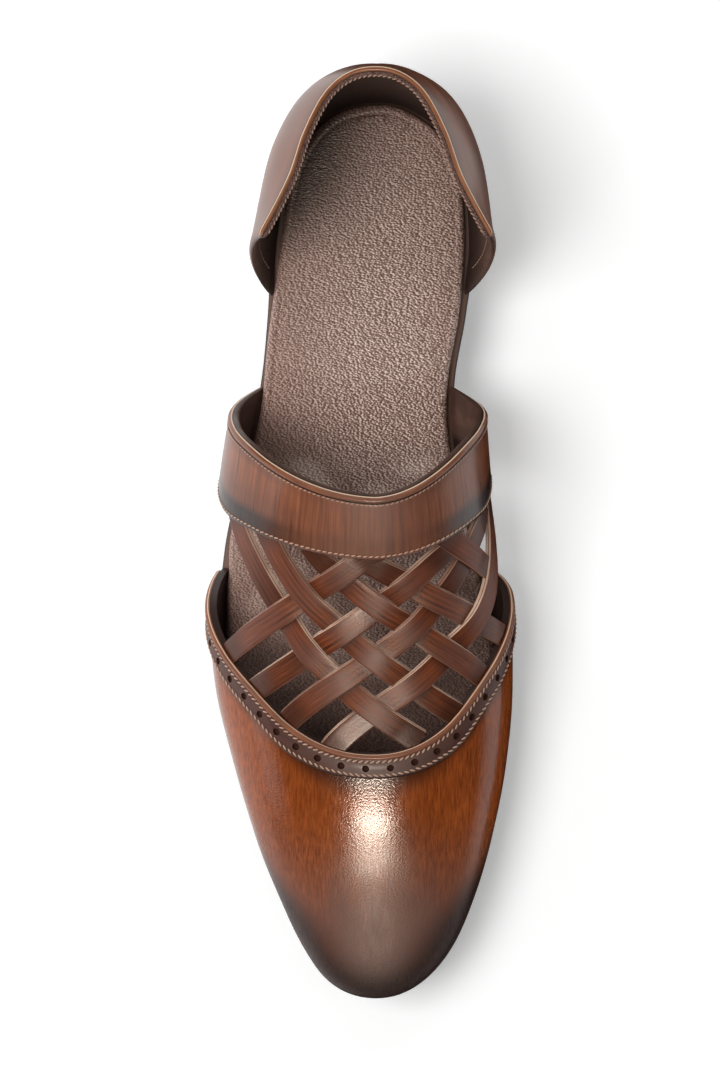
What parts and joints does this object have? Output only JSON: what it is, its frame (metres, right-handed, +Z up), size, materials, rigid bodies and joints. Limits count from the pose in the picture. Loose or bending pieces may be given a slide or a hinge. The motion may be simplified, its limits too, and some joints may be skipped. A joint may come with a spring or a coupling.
{
  "type": "slip-on shoe",
  "caption": "Closed-toe slip-on leather shoe for the right foot, with a woven instep, an instep band, open sides, a separate heel counter and a low stacked heel.",
  "frame": {"origin": "middle of the whole shoe's box in plan, on the floor under the heel and the ball of the sole", "axes": "+Z up, +Y towards the heel, -Y towards the toe, +X towards the inner side of the right foot"},
  "size_m": [0.1026, 0.3048, 0.0833],
  "materials": {
    "outsole_rubber": "satin black-brown rubber",
    "heel_stack": "stacked leather, stained dark and polished",
    "front_lift": "stippled matt rubber",
    "rear_lift": "hard black rubber with fine cross lines",
    "footbed_leather": "pebbled brown leather, soft sheen",
    "upper_leather": "hand-burnished brown leather, glossy",
    "trim_leather": "dark brown polished leather",
    "counter_leather": "hand-burnished brown leather, glossy"
  },
  "bodies": {
    "root": {"outsole": "outsole_rubber", "heel_block": "heel_stack", "heel_lift_front": "front_lift", "heel_lift_rear": "rear_lift", "footbed": "footbed_leather", "upper": "upper_leather", "brogue_trim": "trim_leather", "heel_counter": "counter_leather"}
  },
  "joints": []
}
